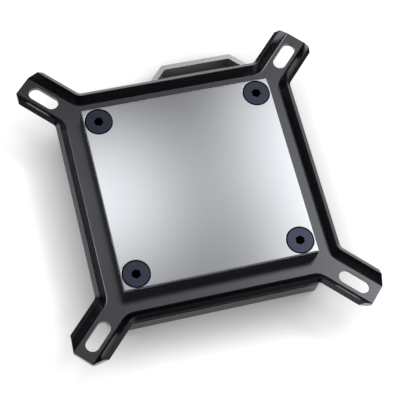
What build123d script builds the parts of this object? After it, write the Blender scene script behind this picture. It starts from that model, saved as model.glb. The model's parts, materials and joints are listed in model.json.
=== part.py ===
from build123d import *
from math import cos, hypot, radians, sin, sqrt, tan
import os

os.makedirs("parts", exist_ok=True)

# A processor water block, in millimetres. It lies on its port side with the cold plate up.
# The origin is on the surface that it lies on, under the middle of the cold plate.

# Mounting bracket: one pressed sheet with flared edges and a slotted arm on each diagonal
sheet = 1.5
fold_half = 33.3
flange_angle = 53.0
flange_leg = 3.4
bend_radius = 0.5
fold_corner_radius = 5.2
small_pitch = 72.0
pitch_range = 8.0
slot_width = 4.1
slot_land = 1.15
tip_land = 2.8
bracket_hole_diameter = 4.5

# Cold plate: one machined piece, flat outside, with a boss, a pocket and fins inside
web_strip = 4.55
plate_rim_thickness = 6.05
plate_edge_chamfer = 0.3
boss_clearance = 0.3
boss_land = 1.3
screw_to_pocket = 5.35
pocket_radius = 7.0
pocket_depth = 2.5
channel_depth = 2.55
channel_width = 0.4
channel_pitch = 0.8
channel_side_land = 5.1
trough_width = 3.0
trough_land = 0.9
plate_hole_diameter = 4.3
plate_countersink_diameter = 8.4

# Base screws: countersunk M4 with a hexagon socket
base_screw_inset = 4.5
base_screw_diameter = 3.9
base_screw_length = 16.0
base_head_diameter = 7.6
base_socket_width = 2.5
base_socket_depth = 1.6
thread_clearance = 0.05
seat_clearance = 0.03
drill_allowance = 0.8

# Cover: a machined frame with a thin outer plate and an open loop on one side
cover_overhang = 0.4
cover_corner_leg = 3.6
cover_height = 5.8
cover_wall = 1.5
cover_plate = 1.5
cover_edge_chamfer = 0.3
loop_reach = 13.5
loop_width = 22.4
loop_shoulder = 6.2
loop_inner_radius = 1.0
cover_fit = 0.2

# Cover screws: countersunk M3 with a hexagon socket
cover_screw_inset = 5.7
cover_screw_diameter = 2.9
cover_screw_length = 8.0
cover_head_diameter = 5.2
cover_countersink_diameter = 5.5
cover_hole_diameter = 3.2
cover_socket_width = 2.0
cover_socket_depth = 1.0

# Top block: the plastic body with two threaded ports and the flow passages
block_thickness = 13.0
block_edge_chamfer = 0.6
port_pitch = 27.0
port_tap_diameter = 11.8
port_mouth_bevel = 0.8
port_wall = 4.4
port_depth = 8.0
chamber_inset = 0.9
chamber_depth = 3.0
outlet_diameter = 8.0

# Seals and the jet pieces inside
gasket_land = 0.3
gasket_width = 2.0
gasket_height = 1.4
gasket_side_room = 0.1
duct_width = 5.0
duct_end_room = 1.0
jet_slit_width = 0.8
jet_plate_thickness = 0.5
insert_fit = 0.2
insert_wall = 1.5
insert_slit_width = 1.6
insert_gasket_height = 0.8

# Levels above the surface that the block lies on
shoulder_z = cover_plate
web_back_z = shoulder_z + block_thickness
web_face_z = web_back_z + sheet
contact_z = web_face_z + plate_rim_thickness
pocket_floor_z = web_back_z + pocket_depth
channel_floor_z = pocket_floor_z + channel_depth
chamber_floor_z = web_back_z - chamber_depth
jet_plate_back_z = pocket_floor_z - jet_plate_thickness
insert_foot_z = chamber_floor_z + insert_gasket_height

# The fold starts one tangent length before the corner of the two flat faces
fold_tangent = bend_radius * tan(radians(flange_angle / 2))
outer_bend_radius = bend_radius + sheet
strip_lap = 2 * fold_tangent
flange_cos = cos(radians(flange_angle))
flange_sin = sin(radians(flange_angle))

# The slots lie on the diagonals, and each arm is its slot with a land of metal all round
slot_circle_radius = (small_pitch + pitch_range / 2) / sqrt(2)
slot_travel = pitch_range / sqrt(2)
arm_half_width = slot_width / 2 + slot_land
arm_reach = slot_circle_radius + (slot_travel + slot_width) / 2 + tip_land

# One side's fold line runs from an arm's tip, along the side, to the next arm's tip
tip_along = arm_reach / sqrt(2)
tip_across = arm_half_width / sqrt(2)
side_end = fold_half - arm_half_width * sqrt(2)

# The plate leaves a strip of the web bare, the screws stand in its corners,
# and the pocket lies between the screws
plate_width = 2 * (fold_half - web_strip)
base_screw_pitch = plate_width - 2 * base_screw_inset
pocket_width = base_screw_pitch - 2 * screw_to_pocket
cover_half = fold_half + cover_overhang
cover_screw_spacing = 2 * (cover_half - cover_screw_inset)
island_width = port_tap_diameter + 2 * port_wall

# The large gasket lies just outside the pocket, and the boss just outside the gasket
gasket_inner_half = pocket_width / 2 + gasket_land
gasket_inner_radius = pocket_radius + gasket_land
boss_half = gasket_inner_half + gasket_width + boss_land
boss_radius = gasket_inner_radius + gasket_width + boss_land

# Screw heads seat on their cones, a hair below the surface
base_head_z = contact_z - (plate_countersink_diameter - base_head_diameter) / 2 + seat_clearance
base_tip_z = base_head_z - base_screw_length
cover_head_z = (cover_countersink_diameter - cover_head_diameter) / 2 - seat_clearance
cover_tip_z = cover_head_z + cover_screw_length

# The channels lie in the middle of the pocket and end in a trough on each side
channel_length = pocket_width - 2 * (trough_land + trough_width)
channel_room = pocket_width - 2 * channel_side_land
channel_count = round((channel_room - channel_width) / channel_pitch) + 1
channel_field = channel_pitch * (channel_count - 1) + channel_width
trough_spacing = channel_length + trough_width

# The duct and the wall round it stand clear of the chamber's sides
chamber_width = pocket_width - 2 * chamber_inset
duct_span = chamber_width - 2 * (duct_end_room + insert_wall)
duct_run = (duct_span - duct_width) / 2
jet_length = duct_span - duct_width

with BuildPart() as mounting_bracket:
    # The flat web: a square and two crossed arms, out to where the folds start
    with BuildSketch(Plane.XY.offset(web_back_z)) as web:
        Rectangle(2 * (fold_half - fold_tangent), 2 * (fold_half - fold_tangent))
        Rectangle(2 * arm_reach, 2 * (arm_half_width - fold_tangent), rotation=45)
        Rectangle(2 * arm_reach, 2 * (arm_half_width - fold_tangent), rotation=-45)
        inner_corners = web.vertices().filter_by(
            lambda corner: hypot(corner.X, corner.Y) < arm_reach - arm_half_width
        )
        fillet(inner_corners, fold_corner_radius + fold_tangent)
    extrude(amount=sheet)
    # Four flared edges, each one section swept along an open path of lines and arcs
    for turn in range(4):
        side = Plane.XY.offset(web_face_z).rotated((0, 0, 90 * turn))
        with BuildLine(side) as fold_line:
            FilletPolyline(
                (tip_along + tip_across, -tip_along + tip_across),
                (fold_half, -side_end),
                (fold_half, side_end),
                (tip_along + tip_across, tip_along - tip_across),
                radius=fold_corner_radius,
            )
        outward = side.from_local_coords(Vector(1, 1, 0)) - side.from_local_coords(Vector(0, 0, 0))
        section = Plane(fold_line.line @ 0, x_dir=outward, z_dir=-(fold_line.line % 0))
        with BuildSketch(section):
            with BuildLine():
                bend_centre = (-fold_tangent, bend_radius)
                inner_bend = CenterArc(bend_centre, bend_radius, -90, flange_angle)
                outer_bend = CenterArc(bend_centre, outer_bend_radius, -90, flange_angle)
                top_edge = (flange_leg * flange_cos, flange_leg * flange_sin)
                rim_edge = (top_edge[0] + sheet * flange_sin, top_edge[1] - sheet * flange_cos)
                Polyline(inner_bend @ 1, top_edge, rim_edge, outer_bend @ 1)
                lap_end = -fold_tangent - strip_lap
                Polyline(inner_bend @ 0, (lap_end, 0), (lap_end, -sheet), outer_bend @ 0)
            make_face()
        sweep(path=fold_line.line)
    # The flared edges are trimmed to a square that passes through the corners of the arm tips
    with BuildSketch(Plane.XY.offset(web_back_z)):
        Rectangle(2 * (tip_along + tip_across), 2 * (tip_along + tip_across))
    extrude(amount=sheet + flange_leg, mode=Mode.INTERSECT)
    # Window for the cold plate's boss, a slot along each arm and the base screws' holes
    with BuildSketch(Plane.XY.offset(web_back_z)):
        window_width = 2 * (boss_half + boss_clearance)
        RectangleRounded(window_width, window_width, boss_radius + boss_clearance)
        with PolarLocations(slot_circle_radius, 4, start_angle=45):
            SlotCenterToCenter(slot_travel, slot_width)
        with GridLocations(base_screw_pitch, base_screw_pitch, 2, 2):
            Circle(bracket_hole_diameter / 2)
    extrude(amount=sheet, mode=Mode.SUBTRACT)
mounting_bracket.part.label = "mounting_bracket"
export_step(mounting_bracket.part, "parts/mounting_bracket.step")

with BuildPart() as cold_plate:
    with BuildSketch(Plane.XY.offset(web_face_z)):
        Rectangle(plate_width, plate_width)
    extrude(amount=plate_rim_thickness)
    chamfer(cold_plate.faces().sort_by(Axis.Z)[-1].edges(), plate_edge_chamfer)
    # The boss fills the bracket's window and meets the block
    with BuildSketch(Plane.XY.offset(web_back_z)):
        RectangleRounded(2 * boss_half, 2 * boss_half, boss_radius)
    extrude(amount=sheet)
    # Pocket for the insert, then a deeper trough at each end of the channels
    with BuildSketch(Plane.XY.offset(web_back_z)):
        RectangleRounded(pocket_width, pocket_width, pocket_radius)
    extrude(amount=pocket_depth, mode=Mode.SUBTRACT)
    with BuildSketch(Plane.XY.offset(pocket_floor_z)):
        with GridLocations(trough_spacing, trough_spacing, 2, 1):
            Rectangle(trough_width, channel_field)
        # Fine channels between the two troughs leave the fins standing
        with GridLocations(channel_pitch, channel_pitch, 1, channel_count):
            Rectangle(channel_length, channel_width)
    extrude(amount=channel_depth, mode=Mode.SUBTRACT)
    with Locations(Plane.XY.offset(contact_z)):
        with GridLocations(base_screw_pitch, base_screw_pitch, 2, 2):
            CounterSinkHole(
                plate_hole_diameter / 2, plate_countersink_diameter / 2, counter_sink_angle=90
            )
cold_plate.part.label = "cold_plate"
export_step(cold_plate.part, "parts/cold_plate.step")

# The outline that the block and the cover share: a square with bevelled corners
with BuildSketch() as body_outline:
    Rectangle(2 * cover_half, 2 * cover_half)
    chamfer(body_outline.vertices(), cover_corner_leg)

# The duct from the inlet port to the jet slit is T-shaped in plan
with BuildSketch() as duct:
    with Locations((-duct_run / 2, 0)):
        SlotCenterToCenter(duct_run, duct_width)
    SlotOverall(duct_span, duct_width, rotation=90)

with BuildPart() as top_block:
    with BuildSketch(Plane.XY.offset(shoulder_z)):
        add(body_outline.sketch_local)
        offset(amount=-cover_wall - cover_fit, kind=Kind.INTERSECTION, mode=Mode.REPLACE)
    extrude(amount=block_thickness)
    chamfer(top_block.faces().sort_by(Axis.Z)[-1].edges(), block_edge_chamfer)
    # The port island stands through the cover's window, level with the cover
    with BuildSketch():
        SlotCenterToCenter(port_pitch, island_width)
    extrude(amount=shoulder_z)
    # Two tapped ports with a bevelled mouth
    with BuildSketch():
        with GridLocations(port_pitch, port_pitch, 2, 1):
            Circle(port_tap_diameter / 2)
    extrude(amount=port_depth, mode=Mode.SUBTRACT)
    port_mouths = top_block.faces().sort_by(Axis.Z)[0].inner_wires().edges()
    chamfer(port_mouths, port_mouth_bevel)
    # Chamber over the insert
    with BuildSketch(Plane.XY.offset(chamber_floor_z)):
        RectangleRounded(chamber_width, chamber_width, pocket_radius - chamber_inset)
    extrude(amount=chamber_depth, mode=Mode.SUBTRACT)
    # Inlet duct and outlet hole join the chamber with the ports
    with BuildSketch(Plane.XY.offset(port_depth)):
        add(duct.sketch_local)
        with Locations((port_pitch / 2, 0)):
            Circle(outlet_diameter / 2)
    extrude(amount=chamber_floor_z - port_depth, mode=Mode.SUBTRACT)
    # Groove for the large gasket
    with BuildSketch(Plane.XY.offset(web_back_z - gasket_height)):
        groove_inner_half = gasket_inner_half - gasket_side_room
        groove_width = gasket_width + 2 * gasket_side_room
        RectangleRounded(
            2 * (groove_inner_half + groove_width),
            2 * (groove_inner_half + groove_width),
            gasket_inner_radius - gasket_side_room + groove_width,
        )
        RectangleRounded(
            2 * groove_inner_half,
            2 * groove_inner_half,
            gasket_inner_radius - gasket_side_room,
            mode=Mode.SUBTRACT,
        )
    extrude(amount=gasket_height, mode=Mode.SUBTRACT)
    # Tapped holes for the base screws and the cover screws
    with BuildSketch(Plane.XY.offset(base_tip_z - drill_allowance)):
        with GridLocations(base_screw_pitch, base_screw_pitch, 2, 2):
            Circle(base_screw_diameter / 2 + thread_clearance)
    extrude(amount=web_back_z - base_tip_z + drill_allowance, mode=Mode.SUBTRACT)
    with BuildSketch(Plane.XY.offset(shoulder_z)):
        with GridLocations(port_pitch, cover_screw_spacing, 2, 2):
            Circle(cover_screw_diameter / 2 + thread_clearance)
    extrude(amount=cover_tip_z + drill_allowance - shoulder_z, mode=Mode.SUBTRACT)
top_block.part.label = "top_block"
export_step(top_block.part, "parts/top_block.step")

# The loop's outer outline, with its foot sunk in the frame's wall
with BuildSketch() as loop_outline:
    with BuildLine():
        loop_top = cover_half + loop_reach
        loop_side = cover_half - cover_corner_leg
        loop_end = loop_side - loop_shoulder
        loop_start = loop_end - loop_width
        loop_foot = cover_half - cover_wall
        Polyline(
            (loop_side, loop_foot),
            (loop_side, loop_top - loop_shoulder),
            (loop_end, loop_top),
            (loop_start, loop_top),
            (loop_start - loop_reach - cover_wall, loop_foot),
            close=True,
        )
    make_face()

with BuildPart() as cover:
    with BuildSketch():
        add(body_outline.sketch_local)
        add(loop_outline.sketch_local)
    extrude(amount=cover_height)
    chamfer(cover.faces().sort_by(Axis.Z)[0].edges(), cover_edge_chamfer)
    # The loop is open right through
    with BuildSketch() as loop_gap:
        add(loop_outline.sketch_local)
        offset(amount=-cover_wall, kind=Kind.INTERSECTION, mode=Mode.REPLACE)
        fillet(loop_gap.vertices(), loop_inner_radius)
    extrude(amount=cover_height, mode=Mode.SUBTRACT)
    # Room for the top block
    with BuildSketch(Plane.XY.offset(cover_plate)):
        add(body_outline.sketch_local)
        offset(amount=-cover_wall, kind=Kind.INTERSECTION, mode=Mode.REPLACE)
    extrude(amount=cover_height - cover_plate, mode=Mode.SUBTRACT)
    # Window for the port island
    with BuildSketch():
        SlotCenterToCenter(port_pitch, island_width + 2 * cover_fit)
    extrude(amount=cover_plate, mode=Mode.SUBTRACT)
    with Locations(Plane.XY.rotated((180, 0, 0))):
        with GridLocations(port_pitch, cover_screw_spacing, 2, 2):
            CounterSinkHole(
                cover_hole_diameter / 2, cover_countersink_diameter / 2, cover_plate, 90
            )
cover.part.label = "cover"
export_step(cover.part, "parts/cover.step")

with BuildPart() as base_gasket:
    with BuildSketch(Plane.XY.offset(web_back_z - gasket_height)):
        RectangleRounded(
            2 * (gasket_inner_half + gasket_width),
            2 * (gasket_inner_half + gasket_width),
            gasket_inner_radius + gasket_width,
        )
        RectangleRounded(
            2 * gasket_inner_half, 2 * gasket_inner_half, gasket_inner_radius, mode=Mode.SUBTRACT
        )
    extrude(amount=gasket_height)
base_gasket.part.label = "base_gasket"
export_step(base_gasket.part, "parts/base_gasket.step")

with BuildPart() as jet_plate:
    with BuildSketch(Plane.XY.offset(jet_plate_back_z)):
        Rectangle(channel_length, channel_field)
        SlotOverall(jet_length, jet_slit_width, rotation=90, mode=Mode.SUBTRACT)
    extrude(amount=jet_plate_thickness)
jet_plate.part.label = "jet_plate"
export_step(jet_plate.part, "parts/jet_plate.step")

with BuildPart() as jet_insert:
    insert_width = pocket_width - 2 * insert_fit
    with BuildSketch(Plane.XY.offset(web_back_z)):
        RectangleRounded(insert_width, insert_width, pocket_radius - insert_fit)
        # Windows let the water out of the troughs
        with GridLocations(trough_spacing, trough_spacing, 2, 1):
            Rectangle(trough_width, channel_field, mode=Mode.SUBTRACT)
    extrude(amount=jet_plate_back_z - web_back_z)
    # The wall round the duct reaches down to the gasket in the chamber
    with BuildSketch(Plane.XY.offset(insert_foot_z)):
        add(duct.sketch_local)
        offset(amount=insert_wall, mode=Mode.REPLACE)
    extrude(amount=web_back_z - insert_foot_z)
    with BuildSketch(Plane.XY.offset(insert_foot_z)):
        add(duct.sketch_local)
    extrude(amount=web_back_z - insert_foot_z, mode=Mode.SUBTRACT)
    # The slit feeds the jet plate
    with BuildSketch(Plane.XY.offset(web_back_z)):
        SlotOverall(jet_length, insert_slit_width, rotation=90)
    extrude(amount=jet_plate_back_z - web_back_z, mode=Mode.SUBTRACT)
jet_insert.part.label = "jet_insert"
export_step(jet_insert.part, "parts/jet_insert.step")

with BuildPart() as insert_gasket:
    with BuildSketch(Plane.XY.offset(chamber_floor_z)):
        add(duct.sketch_local)
        offset(amount=insert_wall, mode=Mode.REPLACE)
        add(duct.sketch_local, mode=Mode.SUBTRACT)
    extrude(amount=insert_gasket_height)
insert_gasket.part.label = "insert_gasket"
export_step(insert_gasket.part, "parts/insert_gasket.step")

with BuildPart() as base_screw:
    with BuildSketch(Plane.XZ):
        with BuildLine():
            shank_radius = base_screw_diameter / 2
            head_radius = base_head_diameter / 2
            Polyline(
                (0, base_head_z),
                (head_radius, base_head_z),
                (shank_radius, base_head_z - (head_radius - shank_radius)),
                (shank_radius, base_tip_z),
                (0, base_tip_z),
                close=True,
            )
        make_face()
    revolve(axis=Axis.Z)
    with BuildSketch(Plane.XY.offset(base_head_z)):
        RegularPolygon(base_socket_width / 2, 6, major_radius=False)
    extrude(amount=-base_socket_depth, mode=Mode.SUBTRACT)

with BuildPart() as base_screws:
    with GridLocations(base_screw_pitch, base_screw_pitch, 2, 2):
        add(base_screw.part)
base_screws.part.label = "base_screws"
export_step(base_screws.part, "parts/base_screws.step")

with BuildPart() as cover_screw:
    with BuildSketch(Plane.XZ):
        with BuildLine():
            cover_shank_radius = cover_screw_diameter / 2
            cover_head_radius = cover_head_diameter / 2
            Polyline(
                (0, cover_head_z),
                (cover_head_radius, cover_head_z),
                (cover_shank_radius, cover_head_z + cover_head_radius - cover_shank_radius),
                (cover_shank_radius, cover_tip_z),
                (0, cover_tip_z),
                close=True,
            )
        make_face()
    revolve(axis=Axis.Z)
    with BuildSketch(Plane.XY.offset(cover_head_z)):
        RegularPolygon(cover_socket_width / 2, 6, major_radius=False)
    extrude(amount=cover_socket_depth, mode=Mode.SUBTRACT)

with BuildPart() as cover_screws:
    with GridLocations(port_pitch, cover_screw_spacing, 2, 2):
        add(cover_screw.part)
cover_screws.part.label = "cover_screws"
export_step(cover_screws.part, "parts/cover_screws.step")
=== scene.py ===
"""A processor water block on a pale studio floor, seen from its cold plate's side."""

import json
import logging
import math
from dataclasses import dataclass
from enum import Enum
from typing import Any

import bpy
from mathutils import Matrix, Vector

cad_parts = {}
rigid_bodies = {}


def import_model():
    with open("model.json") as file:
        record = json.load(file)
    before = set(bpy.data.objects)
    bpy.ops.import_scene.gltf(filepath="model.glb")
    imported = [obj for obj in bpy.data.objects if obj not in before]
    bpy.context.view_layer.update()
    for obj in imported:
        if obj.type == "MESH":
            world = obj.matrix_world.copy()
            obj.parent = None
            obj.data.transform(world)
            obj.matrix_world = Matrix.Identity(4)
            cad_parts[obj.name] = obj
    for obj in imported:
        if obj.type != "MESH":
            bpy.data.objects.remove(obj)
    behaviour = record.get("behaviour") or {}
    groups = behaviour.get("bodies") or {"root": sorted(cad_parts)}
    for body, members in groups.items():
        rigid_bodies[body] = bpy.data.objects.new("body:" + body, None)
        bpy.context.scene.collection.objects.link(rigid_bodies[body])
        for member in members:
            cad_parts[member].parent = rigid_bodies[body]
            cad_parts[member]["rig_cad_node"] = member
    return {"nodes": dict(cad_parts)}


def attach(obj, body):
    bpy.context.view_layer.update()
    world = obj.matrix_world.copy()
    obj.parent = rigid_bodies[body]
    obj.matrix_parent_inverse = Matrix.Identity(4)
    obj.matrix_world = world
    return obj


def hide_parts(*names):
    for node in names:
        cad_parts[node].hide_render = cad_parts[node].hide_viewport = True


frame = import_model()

log = logging.getLogger("water_block")

Colour = tuple[float, float, float]
Pair = tuple[float, float]

MM = 0.001
BODY = "root"
WHITE = (1.0, 1.0, 1.0, 1.0)

# The cold plate's contact face, above the surface that the block lies on
CONTACT_FACE = 22.05 * MM

# The least upward part of a normal at which a face counts as lying flat
FLAT_ENOUGH = 0.5

# Octaves of the slow drift of a colour and of the fine grain
DRIFT_DETAIL = 3.0
GRAIN_DETAIL = 2.0

# Rays that average the rounding of an edge and the shadow round the block
EDGE_SAMPLES = 6
SHADOW_SAMPLES = 16

# Sides of a turned part and of its hexagon socket
ROUND_SIDES = 48
HEXAGON_SIDES = 6


class Slot(Enum):
    """The record's material slots."""

    BRACKET = "bracket_black"
    PLATE = "plate_nickel"
    SCREW = "screw_black"
    COVER = "cover_metal"
    BLOCK = "block_plastic"
    SEAL = "seal_rubber"
    JET = "jet_steel"
    INSERT = "insert_plastic"


class Grain(Enum):
    """The direction in which a surface's fine lines run, as a stretch of the noise."""

    NONE = (1.0, 1.0, 1.0)
    ALONG_X = (0.04, 1.0, 1.0)
    ALONG_Y = (1.0, 0.04, 1.0)


class Wire:
    """A node's output with arithmetic: each operator adds one Math node to the tree."""

    def __init__(self, tree: bpy.types.NodeTree, socket: bpy.types.NodeSocket) -> None:
        """Wraps a socket.

        Args:
            tree: The node tree that the socket is in.
            socket: The output socket.
        """
        self.tree = tree
        self.socket = socket

    def _math(self, operation: str, first: Any, second: Any) -> "Wire":
        """Adds one Math node.

        Args:
            operation: The node's operation.
            first: The first value or wire.
            second: The second value or wire.

        Returns:
            The node's result.
        """
        node = self.tree.nodes.new("ShaderNodeMath")
        node.operation = operation
        for index, value in enumerate((first, second)):
            if isinstance(value, Wire):
                self.tree.links.new(value.socket, node.inputs[index])
            else:
                node.inputs[index].default_value = value
        return Wire(self.tree, node.outputs[0])

    def __add__(self, other: Any) -> "Wire":
        """Returns self + other."""
        return self._math("ADD", self, other)

    __radd__ = __add__

    def __sub__(self, other: Any) -> "Wire":
        """Returns self - other."""
        return self._math("SUBTRACT", self, other)

    def __rsub__(self, other: Any) -> "Wire":
        """Returns other - self."""
        return self._math("SUBTRACT", other, self)

    def __mul__(self, other: Any) -> "Wire":
        """Returns self * other."""
        return self._math("MULTIPLY", self, other)

    __rmul__ = __mul__

    def __truediv__(self, other: Any) -> "Wire":
        """Returns self / other."""
        return self._math("DIVIDE", self, other)

    def __rtruediv__(self, other: Any) -> "Wire":
        """Returns other / self."""
        return self._math("DIVIDE", other, self)

    def __pow__(self, other: Any) -> "Wire":
        """Returns self raised to other."""
        return self._math("POWER", self, other)

    def __rpow__(self, other: Any) -> "Wire":
        """Returns other raised to self."""
        return self._math("POWER", other, self)

    def __neg__(self) -> "Wire":
        """Returns 0 - self."""
        return self._math("SUBTRACT", 0.0, self)

    def clamped(self) -> "Wire":
        """Returns the value held between 0 and 1."""
        self.socket.node.use_clamp = True
        return self


class Bench:
    """Builds one node tree: any node comes from one method, and maths from Wire."""

    def __init__(self, tree: bpy.types.NodeTree) -> None:
        """Starts on a tree.

        Args:
            tree: A material's, the world's or a modifier's node tree.
        """
        self.tree = tree

    def node(
        self,
        kind: str,
        settings: dict[str, Any] | None = None,
        inputs: dict[Any, Any] | None = None,
        output: Any = 0,
    ) -> Wire:
        """Adds one node.

        Args:
            kind: The node's type.
            settings: Its properties, such as a Math node's operation, which are set first.
            inputs: Values, wires or lists of wires by socket name or index.
            output: The name or index of the output to return.

        Returns:
            That output.
        """
        made = self.tree.nodes.new(kind)
        for name, value in (settings or {}).items():
            setattr(made, name, value)
        for name, value in (inputs or {}).items():
            for one in value if isinstance(value, list) else [value]:
                if isinstance(one, Wire):
                    self.tree.links.new(one.socket, made.inputs[name])
                else:
                    made.inputs[name].default_value = one
        return Wire(self.tree, made.outputs[output])


class ShaderBench(Bench):
    """Builds the tree of a material or of the world."""

    def __init__(self, tree: bpy.types.NodeTree) -> None:
        """Empties the tree.

        Args:
            tree: A material's or the world's node tree.
        """
        super().__init__(tree)
        tree.nodes.clear()

    def end(self, kind: str, shader: Wire) -> None:
        """Ends the tree.

        Args:
            kind: The type of the output node.
            shader: The finished shader.
        """
        made = self.tree.nodes.new(kind)
        self.tree.links.new(shader.socket, made.inputs["Surface"])

    def part(self, vector: Wire, axis: str) -> Wire:
        """Returns one part of a vector.

        Args:
            vector: The vector.
            axis: X, Y or Z.
        """
        return self.node("ShaderNodeSeparateXYZ", None, {0: vector}, axis)

    def noise(self, place: Wire, scale: float, detail: float) -> Wire:
        """Returns smooth noise between 0 and 1.

        Args:
            place: The coordinates, in metres.
            scale: Cells per metre.
            detail: Octaves.
        """
        return self.node(
            "ShaderNodeTexNoise", None, {"Vector": place, "Scale": scale, "Detail": detail}
        )

    def ramp(self, value: Wire, settings: dict[str, Any], start: Pair, end: Pair) -> Wire:
        """Returns a value that runs from one level to another.

        Args:
            value: The value to follow.
            settings: The node's properties.
            start: A value, and the level there and before it.
            end: A value, and the level there and beyond it.
        """
        return self.node(
            "ShaderNodeMapRange",
            settings,
            {0: value, 1: start[0], 2: end[0], 3: start[1], 4: end[1]},
        )

    def mix(self, factor: Wire, first: Any, second: Any) -> Wire:
        """Returns a colour between two.

        Args:
            factor: 0 gives the first, 1 the second.
            first: An RGB colour or a wire.
            second: An RGB colour or a wire.
        """
        ends = {
            index: end if isinstance(end, Wire) else (*end, 1.0)
            for index, end in ((6, first), (7, second))
        }
        return self.node("ShaderNodeMix", {"data_type": "RGBA"}, {0: factor, **ends}, 2)


@dataclass(frozen=True)
class Finish:
    """A surface finish: a base colour that drifts a little, grain, and softened edges.

    Attributes:
        name: The material's name.
        slot: The record's slot for it; not used.
        colour: The base colour at one end of its drift.
        drift: The base colour at the other end.
        roughness: The middle roughness.
        metallic: 1 for bare or plated metal.
        roughness_spread: How far the roughness follows the grain and the drift.
        drift_scale: Patches of the drift per metre.
        grain: The direction of the fine lines.
        grain_scale: Lines or grains per metre.
        grain_height: Their height.
        edge_radius: The radius to which edges look rounded.
        specular: The strength of the reflection of a surface that isn't metal.
        index: Its index of refraction.
        tint: The colour of that reflection.
        painted_shade_below: The levels between which the colour comes up from black, a
            painted shade of the rims and sockets below them, or None.
        wall: A near-black colour for faces that don't lie flat, which then aren't metal:
            painted shade on the walls, or None.
    """

    name: str
    slot: Slot
    colour: Colour
    drift: Colour
    roughness: float
    metallic: float = 0.0
    roughness_spread: float = 0.06
    drift_scale: float = 60.0
    grain: Grain = Grain.NONE
    grain_scale: float = 9000.0
    grain_height: float = 0.002 * MM
    edge_radius: float = 0.12 * MM
    specular: float = 0.5
    index: float = 1.5
    tint: Colour = (1.0, 1.0, 1.0)
    painted_shade_below: Pair | None = None
    wall: Colour | None = None

    def base_colour(self, bench: ShaderBench, place: Wire, drift: Wire) -> Wire:
        """Builds the base colour, with painted shade below a level where one is set.

        Args:
            bench: The material's bench.
            place: The Object coordinates.
            drift: The slow noise.

        Returns:
            The colour.
        """
        colour = bench.mix(drift, self.colour, self.drift)
        if not self.painted_shade_below:
            return colour
        low, high = self.painted_shade_below
        # Painted shade: black below the lower level, full colour above the upper one
        light = bench.ramp(bench.part(place, "Z"), {}, (low, 0.0), (high, 1.0))
        return bench.node(
            "ShaderNodeVectorMath", {"operation": "SCALE"}, {0: colour, "Scale": light}
        )

    def relief(self, bench: ShaderBench, grain: Wire) -> Wire:
        """Builds the normal, with the grain and the softened edges.

        Args:
            bench: The material's bench.
            grain: The fine noise.

        Returns:
            The normal.
        """
        edge = bench.node(
            "ShaderNodeBevel", {"samples": EDGE_SAMPLES}, {"Radius": self.edge_radius}
        )
        return bench.node(
            "ShaderNodeBump",
            None,
            {"Height": grain, "Distance": self.grain_height, "Normal": edge},
        )

    def made(self) -> bpy.types.Material:
        """Builds the procedural material.

        Returns:
            The material, on Object coordinates.
        """
        material = bpy.data.materials.new(self.name)
        material.use_nodes = True
        bench = ShaderBench(material.node_tree)
        place = bench.node("ShaderNodeTexCoord", output="Object")
        lined = bench.node(
            "ShaderNodeMapping", None, {"Vector": place, "Scale": self.grain.value}
        )
        drift = bench.noise(place, self.drift_scale, DRIFT_DETAIL)
        grain = bench.noise(lined, self.grain_scale, GRAIN_DETAIL)
        colour = self.base_colour(bench, place, drift)
        metallic: Any = self.metallic
        # Painted shade: faces that don't face up take the dark wall colour and lose their
        # metal
        if self.wall:
            normal = bench.node("ShaderNodeTexCoord", output="Normal")
            metallic = bench.node(
                "ShaderNodeMath",
                {"operation": "GREATER_THAN"},
                {0: bench.part(normal, "Z"), 1: FLAT_ENOUGH},
            )
            colour = bench.mix(metallic, self.wall, colour)
        uneven = self.roughness_spread * (grain + drift - 1.0)
        shader = bench.node(
            "ShaderNodeBsdfPrincipled",
            None,
            {
                "Base Color": colour,
                "Metallic": metallic,
                "Roughness": (self.roughness + uneven).clamped(),
                "Specular IOR Level": self.specular,
                "IOR": self.index,
                "Specular Tint": (*self.tint, 1.0),
                "Normal": self.relief(bench, grain),
            },
        )
        bench.end("ShaderNodeOutputMaterial", shader)
        return material

    def material(self) -> bpy.types.Material:
        """Returns the finish's material, built on its first use."""
        return bpy.data.materials.get(self.name) or self.made()

    def dress(self, piece: bpy.types.Object) -> None:
        """Gives a piece this finish.

        Args:
            piece: A CAD node or a finished piece.
        """
        material = self.material()
        if not piece.material_slots:
            piece.data.materials.append(material)
        for place in piece.material_slots:
            place.material = material


SATIN_BLACK = Finish(
    "satin_black_coat", Slot.BRACKET, (0.0012, 0.0012, 0.0014), (0.0020, 0.0020, 0.0024),
    roughness=0.22, grain_height=0.0006 * MM, edge_radius=0.10 * MM,
    specular=1.0, index=1.7, tint=(0.90, 0.92, 1.0),
)
SATIN_NICKEL = Finish(
    "satin_nickel", Slot.PLATE, (0.79, 0.81, 0.86), (0.83, 0.845, 0.88),
    roughness=0.11, metallic=1.0, roughness_spread=0.006, grain=Grain.ALONG_Y,
    grain_scale=5000.0, grain_height=0.00012 * MM, edge_radius=0.1 * MM,
)
BLACK_OXIDE = Finish(
    "black_oxide_steel", Slot.SCREW, (0.066, 0.070, 0.106), (0.078, 0.083, 0.124),
    roughness=0.32, metallic=1.0, edge_radius=0.04 * MM,
    # Painted shade: the heads' rims and sockets go black below their faces
    painted_shade_below=(CONTACT_FACE - 0.030 * MM, CONTACT_FACE - 0.024 * MM),
)
BLACK_STEEL = Finish(
    "black_steel", Slot.SCREW, (0.045, 0.048, 0.075), (0.055, 0.058, 0.088),
    roughness=0.32, metallic=1.0, edge_radius=0.04 * MM,
)
SATIN_METAL = Finish(
    "satin_cover_metal", Slot.COVER, (0.84, 0.84, 0.87), (0.90, 0.90, 0.92),
    roughness=0.28, metallic=1.0, grain_height=0.0004 * MM, edge_radius=0.05 * MM,
    # The cover's walls are painted dark: painted shade, not a second finish
    index=1.6, wall=(0.003, 0.003, 0.004),
)
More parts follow.
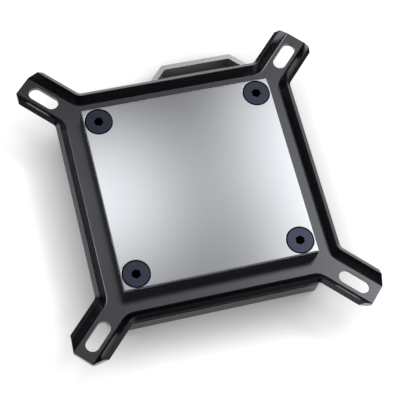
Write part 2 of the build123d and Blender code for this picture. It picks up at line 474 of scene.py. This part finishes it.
MACHINED_ACETAL = Finish(
    "machined_black_acetal", Slot.BLOCK, (0.022, 0.022, 0.024), (0.030, 0.030, 0.032),
    roughness=0.45, grain=Grain.ALONG_X, grain_scale=7000.0,
)
SEAL_RUBBER = Finish(
    "seal_rubber", Slot.SEAL, (0.012, 0.012, 0.013), (0.020, 0.020, 0.021), roughness=0.65,
)
SPRING_STEEL = Finish(
    "jet_plate_steel", Slot.JET, (0.52, 0.52, 0.54), (0.58, 0.58, 0.60),
    roughness=0.30, metallic=1.0, grain=Grain.ALONG_X,
)
DARK_PLASTIC = Finish(
    "insert_dark_plastic", Slot.INSERT, (0.035, 0.035, 0.038), (0.045, 0.045, 0.048),
    roughness=0.50,
)


@dataclass
class Camera:
    """The photograph's viewpoint.

    Attributes:
        place: Where it stands, in metres.
        turn: Its turn, as a rotation vector.
        lens: The focal length, in millimetres.
        sensor: The sensor's width, in millimetres.
        clip: The nearest and the farthest distance seen, in metres.
    """

    place: tuple[float, float, float] = (-0.06757, -0.13345, 0.35324)
    turn: tuple[float, float, float] = (-0.3827, 0.1471, 0.226)
    lens: float = 112.33
    sensor: float = 36.0
    clip: Pair = (0.01, 50.0)

    def build(self) -> bpy.types.Object:
        """Makes the camera and sets it as the scene's.

        Returns:
            The camera.
        """
        data = bpy.data.cameras.new("camera")
        data.lens = self.lens
        data.sensor_width = self.sensor
        data.clip_start, data.clip_end = self.clip
        made = bpy.data.objects.new("camera", data)
        vector = Vector(self.turn)
        to_view = Matrix.Rotation(vector.length, 3, vector.normalized())
        made.matrix_world = Matrix.Translation(self.place) @ to_view.transposed().to_4x4()
        bpy.context.scene.collection.objects.link(made)
        bpy.context.scene.camera = made
        return made


@dataclass(frozen=True)
class Glow:
    """A round patch of light in the world, widest at a low sharpness."""

    direction: tuple[float, float, float]
    sharpness: float
    strength: float

    def light(self, bench: ShaderBench, way: Wire) -> Wire:
        """Builds the light of the patch.

        Args:
            bench: The world's bench.
            way: The direction that is looked in.

        Returns:
            Its strength in that direction.
        """
        axis = tuple(Vector(self.direction).normalized())
        facing = bench.node(
            "ShaderNodeVectorMath", {"operation": "DOT_PRODUCT"}, {0: way, 1: axis}, "Value"
        )
        ahead = bench.node("ShaderNodeMath", {"operation": "MAXIMUM"}, {0: facing, 1: 0.0})
        return self.strength * ahead ** self.sharpness


@dataclass(frozen=True)
class Panel:
    """A ceiling panel with soft edges, in widths of a ceiling one metre up."""

    centre: Pair
    half: Pair
    fade: Pair
    strength: float

    def light(self, bench: ShaderBench, across: tuple[Wire, Wire]) -> Wire:
        """Builds the light of the panel.

        Args:
            bench: The world's bench.
            across: The place on the ceiling that is looked at.

        Returns:
            Its strength at that place.
        """
        lit: Any = self.strength
        for place, centre, half, fade in zip(across, self.centre, self.half, self.fade):
            off = bench.node("ShaderNodeMath", {"operation": "ABSOLUTE"}, {0: place - centre})
            soft = {"interpolation_type": "SMOOTHSTEP"}
            lit = lit * bench.ramp(off, soft, (half, 1.0), (half + fade, 0.0))
        return lit


@dataclass
class Studio:
    """A pale floor under a world that is dark low down, with soft panels overhead.

    Attributes:
        floor_size: The floor's side.
        floor_colour: Its colour.
        floor_roughness: Its roughness.
        floor_glow: How light it looks to the camera and in reflections, where 1 is white.
        floor_level: Its level, a hair below the block so that the two don't flicker.
        shadow_reach: How near the block has to be for the painted shadow to darken the floor.
        shadow_depth: How fast the painted shadow darkens the floor towards the block.
        base_level: The world's least strength.
        lowest_height: The least height, out of 1, at which the ceiling is looked up.
        glows: The round patches of light.
        panels: The ceiling panels.
    """

    floor_size: float = 6.0
    floor_colour: Colour = (0.85, 0.85, 0.85)
    floor_roughness: float = 0.9
    floor_glow: float = 0.90
    floor_level: float = -0.02 * MM
    shadow_reach: float = 20.0 * MM
    shadow_depth: float = 1.5
    base_level: float = 0.01
    lowest_height: float = 0.02
    glows: tuple[Glow, ...] = (
        Glow((0.90, 0.20, 0.80), 40.0, 2.50),
        Glow((-0.83, 0.36, 0.50), 40.0, 1.50),
        Glow((0.68, 0.68, 0.25), 12.0, 0.25),
        Glow((0.68, -0.68, 0.26), 12.0, 0.38),
    )
    panels: tuple[Panel, ...] = (
        Panel((0.07, 0.403), (0.05, 0.00), (0.125, 0.14), 1.17),
        Panel((-0.05, 0.403), (0.05, 0.00), (0.12, 0.16), 0.25),
        Panel((0.25, 0.40), (0.00, 0.00), (0.08, 0.18), 0.48),
        Panel((0.56, 0.34), (0.22, 0.08), (0.12, 0.20), 1.50),
        Panel((0.60, 0.28), (0.10, 0.10), (0.10, 0.10), 4.60),
        Panel((0.26, 0.10), (0.12, 0.17), (0.06, 0.03), 0.80),
        Panel((-1.10, -1.10), (0.30, 0.30), (0.30, 0.30), 0.40),
        Panel((-1.00, 1.00), (0.30, 0.30), (0.30, 0.30), 0.30),
        Panel((0.00, -0.62), (0.35, 0.10), (0.25, 0.20), 0.36),
    )

    def floor_material(self) -> bpy.types.Material:
        """Builds the floor's material, whose white dims softly near the block in a painted
        shadow.

        Returns:
            The material.
        """
        material = bpy.data.materials.new("pale_floor")
        material.use_nodes = True
        bench = ShaderBench(material.node_tree)
        seen = bench.node("ShaderNodeLightPath", output="Is Camera Ray")
        gloss = bench.node("ShaderNodeLightPath", output="Is Glossy Ray")
        through = bench.node("ShaderNodeLightPath", output="Is Transmission Ray")
        # Painted shadow: the glow's colour follows how open the floor is to the sky near the
        # block
        open_to_sky = bench.node(
            "ShaderNodeAmbientOcclusion",
            {"samples": SHADOW_SAMPLES},
            {"Distance": self.shadow_reach},
            "AO",
        )
        shader = bench.node(
            "ShaderNodeBsdfPrincipled",
            None,
            {
                "Base Color": (*self.floor_colour, 1.0),
                "Roughness": self.floor_roughness,
                "Specular IOR Level": 0.0,
                "Emission Color": open_to_sky ** self.shadow_depth,
                "Emission Strength": (seen + gloss + through).clamped() * self.floor_glow,
            },
        )
        bench.end("ShaderNodeOutputMaterial", shader)
        return material

    def floor(self) -> bpy.types.Object:
        """Makes the floor.

        Returns:
            The floor.
        """
        half = self.floor_size / 2
        corners = ((-half, -half), (half, -half), (half, half), (-half, half))
        mesh = bpy.data.meshes.new("floor")
        mesh.from_pydata([(x, y, self.floor_level) for x, y in corners], [], [(0, 1, 2, 3)])
        mesh.materials.append(self.floor_material())
        made = bpy.data.objects.new("floor", mesh)
        bpy.context.scene.collection.objects.link(made)
        return made

    def world(self) -> bpy.types.World:
        """Makes the world: a low base level, the glows and the panels.

        Returns:
            The world.
        """
        made = bpy.data.worlds.new("studio")
        made.use_nodes = True
        bench = ShaderBench(made.node_tree)
        way = bench.node("ShaderNodeTexCoord", output="Generated")
        level: Any = self.base_level
        for glow in self.glows:
            level = level + glow.light(bench, way)
        above = bench.node(
            "ShaderNodeMath",
            {"operation": "MAXIMUM"},
            {0: bench.part(way, "Z"), 1: self.lowest_height},
        )
        across = (bench.part(way, "X") / above, bench.part(way, "Y") / above)
        for panel in self.panels:
            level = level + panel.light(bench, across)
        shader = bench.node("ShaderNodeBackground", None, {"Color": WHITE, "Strength": level})
        bench.end("ShaderNodeOutputWorld", shader)
        bpy.context.scene.world = made
        return made

    def build(self) -> None:
        """Makes the floor and the world, and sets the plain view transform."""
        self.floor()
        self.world()
        bpy.context.scene.view_settings.view_transform = "Standard"


class GraphBench(Bench):
    """Builds one Geometry Nodes tree with named inputs."""

    def __init__(
        self, name: str, sizes: dict[str, float], counts: dict[str, int] | None = None
    ) -> None:
        """Starts the tree.

        Args:
            name: The tree's name.
            sizes: Named lengths or angles and their values.
            counts: Named whole numbers and their values.
        """
        super().__init__(bpy.data.node_groups.new(name, "GeometryNodeTree"))
        self.tree.interface.new_socket(
            name="Geometry", in_out="OUTPUT", socket_type="NodeSocketGeometry"
        )
        self.values: dict[str, Any] = {**sizes, **(counts or {})}
        for kind, group in (("NodeSocketFloat", sizes), ("NodeSocketInt", counts or {})):
            for label in group:
                self.tree.interface.new_socket(name=label, in_out="INPUT", socket_type=kind)
        self.tree.interface.new_socket(
            name="Finish", in_out="INPUT", socket_type="NodeSocketMaterial"
        )
        self.source = self.tree.nodes.new("NodeGroupInput")

    def given(self, label: str) -> Wire:
        """Returns a named input of the tree.

        Args:
            label: The input's name.
        """
        return Wire(self.tree, self.source.outputs[label])

    def vector(self, x: Any = 0.0, y: Any = 0.0, z: Any = 0.0) -> Wire:
        """Returns a vector of three values or wires."""
        return self.node("ShaderNodeCombineXYZ", None, {"X": x, "Y": y, "Z": z})

    def raised(self, shape: Wire, height: Any) -> Wire:
        """Returns a shape moved up by a height."""
        lift = self.vector(z=height)
        return self.node(
            "GeometryNodeTransform", None, {"Geometry": shape, "Translation": lift}
        )

    def cone(
        self, top: Any, bottom: Any, height: Any, low: Any, sides: int = ROUND_SIDES
    ) -> Wire:
        """Returns a closed cone or cylinder that stands on a level.

        Args:
            top: Its radius at the top.
            bottom: Its radius at the bottom.
            height: Its height.
            low: The level of its bottom.
            sides: The number of its sides.
        """
        made = self.node(
            "GeometryNodeMeshCone",
            {"fill_type": "NGON"},
            {"Vertices": sides, "Radius Top": top, "Radius Bottom": bottom, "Depth": height},
        )
        return self.raised(made, low)

    def joined(self, operation: str, shapes: dict[int, Any]) -> Wire:
        """Returns solids joined, or one cut from another.

        Args:
            operation: UNION or DIFFERENCE.
            shapes: The solids by the index of the node's socket.
        """
        return self.node(
            "GeometryNodeMeshBoolean", {"operation": operation, "solver": "EXACT"}, shapes
        )

    def faceted(self, shape: Wire) -> Wire:
        """Returns a shape with plain, unsmoothed faces."""
        return self.node(
            "GeometryNodeSetShadeSmooth", None, {"Geometry": shape, "Shade Smooth": False}
        )

    def finish(self, shape: Wire) -> None:
        """Ends the tree in Realize Instances and Set Material.

        Args:
            shape: The whole geometry.
        """
        real = self.node("GeometryNodeRealizeInstances", None, {"Geometry": shape})
        dressed = self.node(
            "GeometryNodeSetMaterial",
            None,
            {"Geometry": real, "Material": self.given("Finish")},
        )
        end = self.tree.nodes.new("NodeGroupOutput")
        self.tree.links.new(dressed.socket, end.inputs[0])

    def piece(self, name: str, finish: Finish) -> bpy.types.Object:
        """Runs the tree and keeps its result as a plain mesh.

        Args:
            name: The piece's name.
            finish: Its finish.

        Returns:
            The piece, at the origin, with no modifier left on it.
        """
        given = {**self.values, "Finish": finish.material()}
        host = bpy.data.objects.new(name + ".host", bpy.data.meshes.new(name + ".host"))
        bpy.context.scene.collection.objects.link(host)
        modifier = host.modifiers.new("tree", "NODES")
        modifier.node_group = self.tree
        for item in self.tree.interface.items_tree:
            if item.in_out == "INPUT":
                modifier[item.identifier] = given[item.name]
        graph = bpy.context.evaluated_depsgraph_get()
        mesh = bpy.data.meshes.new_from_object(host.evaluated_get(graph))
        mesh.name = name
        host.modifiers.clear()
        bpy.data.objects.remove(host)
        made = bpy.data.objects.new(name, mesh)
        bpy.context.scene.collection.objects.link(made)
        finish.dress(made)
        return made


@dataclass
class SocketScrews:
    """Countersunk screws with a hexagon socket, at the corners of a rectangle.

    Attributes:
        name: The piece's name.
        node: The CAD node that it replaces.
        finish: Its finish.
        spacing: The rectangle's sides.
        head_level: The level of the heads' faces.
        face_diameter: The flat face, inside the rim.
        head_diameter: The head, over the rim.
        shank_diameter: The shank.
        length: The length over all.
        socket_width: The hexagon, across its flats.
        socket_depth: The hexagon's depth.
        upside_down: Whether the heads look down.
        edge_depth: How far the rim falls below the face.
        cutter_reach: The height of the hexagon's cutter over the socket's depth.
        per_side: How many screws stand along a side of the rectangle.
        seed: The seed of the screws' turns.
    """

    name: str
    node: str
    finish: Finish
    spacing: Pair
    head_level: float
    face_diameter: float
    head_diameter: float
    shank_diameter: float
    length: float
    socket_width: float
    socket_depth: float
    upside_down: bool = False
    edge_depth: float = 0.04 * MM
    cutter_reach: float = 1.5
    per_side: int = 2
    seed: int = 7

    def start(self) -> GraphBench:
        """Starts the tree, with one named input for each size.

        Returns:
            The tree.
        """
        return GraphBench(
            self.name,
            {
                "Spacing X": self.spacing[0],
                "Spacing Y": self.spacing[1],
                "Head Level": self.head_level,
                "Face Radius": self.face_diameter / 2,
                "Head Radius": self.head_diameter / 2,
                "Shank Radius": self.shank_diameter / 2,
                "Length": self.length,
                "Socket Width": self.socket_width,
                "Socket Depth": self.socket_depth,
                "Edge Depth": self.edge_depth,
                "Turn Over": math.pi if self.upside_down else 0.0,
            },
            {"Seed": self.seed},
        )

    def screw(self, graph: GraphBench) -> Wire:
        """Builds one screw, with its face at the origin.

        Args:
            graph: The tree.

        Returns:
            The screw.
        """
        head, shank = graph.given("Head Radius"), graph.given("Shank Radius")
        edge, length = graph.given("Edge Depth"), graph.given("Length")
        neck = head - shank + edge
        rim = graph.cone(graph.given("Face Radius"), head, edge, -edge)
        cone = graph.cone(head, shank, head - shank, -neck)
        body = graph.cone(shank, shank, length - neck, -length)
        solid = graph.joined("UNION", {1: [rim, cone, body]})
        depth = graph.given("Socket Depth")
        corner = graph.given("Socket Width") / math.sqrt(3)
        hexagon = graph.cone(corner, corner, depth * self.cutter_reach, -depth, HEXAGON_SIDES)
        return graph.faceted(graph.joined("DIFFERENCE", {0: solid, 1: hexagon}))

    def tree(self) -> GraphBench:
        """Builds the Geometry Nodes tree of the four screws.

        Returns:
            The tree.
        """
        graph = self.start()
        screw = self.screw(graph)
        grid = graph.node(
            "GeometryNodeMeshGrid",
            None,
            {
                "Size X": graph.given("Spacing X"),
                "Size Y": graph.given("Spacing Y"),
                "Vertices X": self.per_side,
                "Vertices Y": self.per_side,
            },
        )
        turn = graph.node(
            "FunctionNodeRandomValue",
            {"data_type": "FLOAT"},
            {2: 0.0, 3: math.tau, "Seed": graph.given("Seed")},
            1,
        )
        placed = graph.node(
            "GeometryNodeInstanceOnPoints",
            None,
            {
                "Points": graph.raised(grid, graph.given("Head Level")),
                "Instance": screw,
                "Rotation": graph.vector(graph.given("Turn Over"), 0.0, turn),
            },
        )
        graph.finish(placed)
        return graph

    def build(self) -> bpy.types.Object:
        """Makes the screws in place of their CAD node.

        Returns:
            The four screws as one piece.
        """
        made = self.tree().piece(self.name, self.finish)
        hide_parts(self.node)
        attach(made, BODY)
        return made


@dataclass
class BaseScrews(SocketScrews):
    """The four black screws that hold the cold plate."""

    name: str = "base_screw_heads"
    node: str = "base_screws"
    finish: Finish = BLACK_OXIDE
    spacing: Pair = (48.5 * MM, 48.5 * MM)
    head_level: float = CONTACT_FACE - 0.02 * MM
    face_diameter: float = 7.40 * MM
    head_diameter: float = 8.26 * MM
    shank_diameter: float = 3.9 * MM
    length: float = 16.0 * MM
    socket_width: float = 2.5 * MM
    socket_depth: float = 2.6 * MM


@dataclass
class CoverScrews(SocketScrews):
    """The four screws that hold the cover, with their heads on the port side."""

    name: str = "cover_screw_heads"
    node: str = "cover_screws"
    finish: Finish = BLACK_STEEL
    spacing: Pair = (27.0 * MM, 56.0 * MM)
    head_level: float = 0.12 * MM
    face_diameter: float = 5.0 * MM
    head_diameter: float = 5.2 * MM
    shank_diameter: float = 2.9 * MM
    length: float = 8.0 * MM
    socket_width: float = 2.0 * MM
    socket_depth: float = 1.0 * MM
    upside_down: bool = True


@dataclass
class PortThreads:
    """The internal threads of the two ports, one helix in each bore.

    Attributes:
        spacing: The distance between the ports.
        bore: The bore's diameter.
        pitch: The thread's pitch.
        turns: How many turns each thread has.
        start: The level at which it starts.
        ridge: The radius of the ridge's triangular section.
        ridge_width: How many times wider than high the section is.
        inset: How far the section's middle stands inside the bore's wall.
        steps: Steps of the helix in one turn.
        ports: How many ports there are.
        section_sides: Sides of the section.
    """

    spacing: float = 27.0 * MM
    bore: float = 11.8 * MM
    pitch: float = 1.337 * MM
    turns: float = 5.0
    start: float = 2.4 * MM
    ridge: float = 0.14 * MM
    ridge_width: float = 3.4
    inset: float = 0.14 * MM / 3
    steps: int = 40
    ports: int = 2
    section_sides: int = 3

    def thread(self, graph: GraphBench) -> Wire:
        """Builds one thread round the origin.

        Args:
            graph: The tree.

        Returns:
            The thread.
        """
        turns, radius = graph.given("Turns"), graph.given("Radius")
        helix = graph.node(
            "GeometryNodeCurveSpiral",
            None,
            {
                "Resolution": self.steps,
                "Rotations": turns,
                "Start Radius": radius,
                "End Radius": radius,
                "Height": turns * graph.given("Pitch"),
            },
        )
        upright = graph.node("GeometryNodeSetCurveNormal", {"mode": "Z_UP"}, {0: helix})
        triangle = graph.node(
            "GeometryNodeCurvePrimitiveCircle",
            {"mode": "RADIUS"},
            {"Resolution": self.section_sides, "Radius": graph.given("Ridge")},
        )
        wide = graph.vector(1.0, graph.given("Ridge Width"), 1.0)
        section = graph.node(
            "GeometryNodeTransform", None, {"Geometry": triangle, "Scale": wide}
        )
        swept = graph.node(
            "GeometryNodeCurveToMesh",
            None,
            {"Curve": upright, "Profile Curve": section, "Fill Caps": True},
        )
        return graph.faceted(swept)

    def tree(self) -> GraphBench:
        """Builds the Geometry Nodes tree of both threads.

        Returns:
            The tree, with one named input for each size.
        """
        graph = GraphBench(
            "port_threads",
            {
                "Spacing": self.spacing,
                "Radius": self.bore / 2 - self.inset,
                "Pitch": self.pitch,
                "Turns": self.turns,
                "Start": self.start,
                "Ridge": self.ridge,
                "Ridge Width": self.ridge_width,
            },
        )
        thread = self.thread(graph)
        half, start = graph.given("Spacing") / 2, graph.given("Start")
        ports = graph.node(
            "GeometryNodeMeshLine",
            {"mode": "END_POINTS"},
            {
                "Count": self.ports,
                "Start Location": graph.vector(-half, 0.0, start),
                "Offset": graph.vector(half, 0.0, start),
            },
        )
        placed = graph.node(
            "GeometryNodeInstanceOnPoints", None, {"Points": ports, "Instance": thread}
        )
        graph.finish(placed)
        return graph

    def build(self) -> bpy.types.Object:
        """Makes the threads, which ride with the block.

        Returns:
            Both threads as one piece.
        """
        made = self.tree().piece("port_threads", MACHINED_ACETAL)
        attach(made, BODY)
        return made


@dataclass
class CarriedNodes:
    """CAD nodes whose shape is kept, each with its own finish."""

    finishes: dict[str, Finish]

    def build(self) -> None:
        """Dresses each node."""
        for name, finish in self.finishes.items():
            finish.dress(frame["nodes"][name])
            log.info("%s keeps its shape, finish %s", name, finish.name)


def main() -> None:
    """Builds the scene."""
    logging.basicConfig(level=logging.INFO, format="%(message)s")
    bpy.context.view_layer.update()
    Camera().build()
    Studio().build()
    CarriedNodes(
        {
            "mounting_bracket": SATIN_BLACK,
            "cold_plate": SATIN_NICKEL,
            "cover": SATIN_METAL,
            "top_block": MACHINED_ACETAL,
            "base_gasket": SEAL_RUBBER,
            "insert_gasket": SEAL_RUBBER,
            "jet_plate": SPRING_STEEL,
            "jet_insert": DARK_PLASTIC,
        }
    ).build()
    for assembly in (BaseScrews(), CoverScrews(), PortThreads()):
        piece = assembly.build()
        log.info("%s: %d faces", piece.name, len(piece.data.polygons))


if __name__ == "__main__":
    main()
